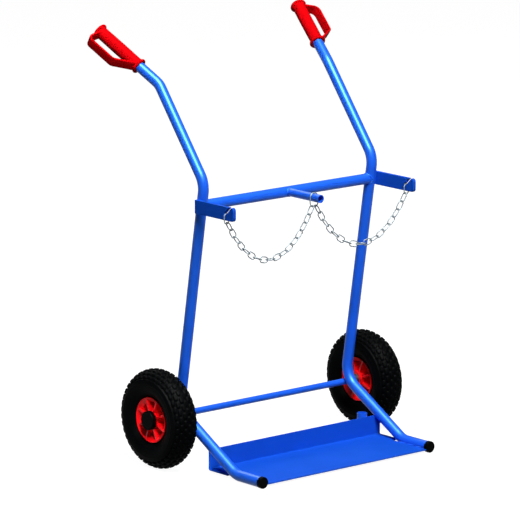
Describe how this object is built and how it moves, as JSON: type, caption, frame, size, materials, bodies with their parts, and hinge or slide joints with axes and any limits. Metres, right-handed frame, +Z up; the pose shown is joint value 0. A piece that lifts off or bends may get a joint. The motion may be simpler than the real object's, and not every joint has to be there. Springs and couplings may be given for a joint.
{
  "type": "gas cylinder trolley",
  "caption": "Bent-tube trolley for carrying gas cylinders, with a toe plate, air-filled ribbed wheels, guarded grips and hanging securing chains.",
  "frame": {"origin": "on the floor, under the middle of the outline seen from above", "axes": "+Z up; the toe plate faces -Y, the grips point to +Y, the axle lies along X"},
  "size_m": [0.782, 0.601, 1.117],
  "materials": {
    "frame_paint": "glossy royal-blue powder coat",
    "grip_plastic": "smooth moulded red plastic",
    "rim_plastic": "moulded red plastic",
    "tyre_rubber": "matt black tread rubber",
    "tube_rubber": "black butyl rubber",
    "cap_plastic": "satin black plastic",
    "chain_zinc": "bright zinc-plated wire",
    "steel": "plain turned steel"
  },
  "bodies": {
    "frame": {"left_side_tube": "frame_paint", "right_side_tube": "frame_paint", "crossbar": "frame_paint", "centre_stub": "frame_paint", "left_chain_arm": "frame_paint", "right_chain_arm": "frame_paint", "axle": "frame_paint", "toe_plate": "frame_paint", "rod_socket": "frame_paint", "left_foot_cap": "cap_plastic", "right_foot_cap": "cap_plastic", "left_grip": "grip_plastic", "right_grip": "grip_plastic", "left_axle_spacer": "steel", "right_axle_spacer": "steel", "left_axle_washers": "steel", "right_axle_washers": "steel", "left_split_pin": "steel", "right_split_pin": "steel", "hanger_ring": "chain_zinc", "left_arm_link": "chain_zinc", "right_arm_link": "chain_zinc"},
    "left_wheel": {"left_tyre": "tyre_rubber", "left_inner_tube": "tube_rubber", "left_rim": "rim_plastic", "left_hub_bushes": "steel", "left_hub_cap": "cap_plastic"},
    "right_wheel": {"right_tyre": "tyre_rubber", "right_inner_tube": "tube_rubber", "right_rim": "rim_plastic", "right_hub_bushes": "steel", "right_hub_cap": "cap_plastic"},
    "left_chain": {"left_chain": "chain_zinc"},
    "right_chain": {"right_chain": "chain_zinc"}
  },
  "joints": [
    {"name": "left_wheel_spin", "type": "hinge", "parent": "frame", "child": "left_wheel", "pos_m": [-0.351, 0.03474, 0.13], "axis": [1, 0, 0], "continuous": true},
    {"name": "right_wheel_spin", "type": "hinge", "parent": "frame", "child": "right_wheel", "pos_m": [0.351, 0.03474, 0.13], "axis": [1, 0, 0], "continuous": true},
    {"name": "left_chain_swing", "type": "hinge", "parent": "frame", "child": "left_chain", "pos_m": [-0.2994, -0.17917, 0.66478], "axis": [0.9987, 0.0505, 0.0102], "range_deg": [-60, 60]},
    {"name": "right_chain_swing", "type": "hinge", "parent": "frame", "child": "right_chain", "pos_m": [0.2994, -0.17917, 0.66478], "axis": [0.9987, -0.0505, -0.0102], "range_deg": [-60, 60]}
  ]
}
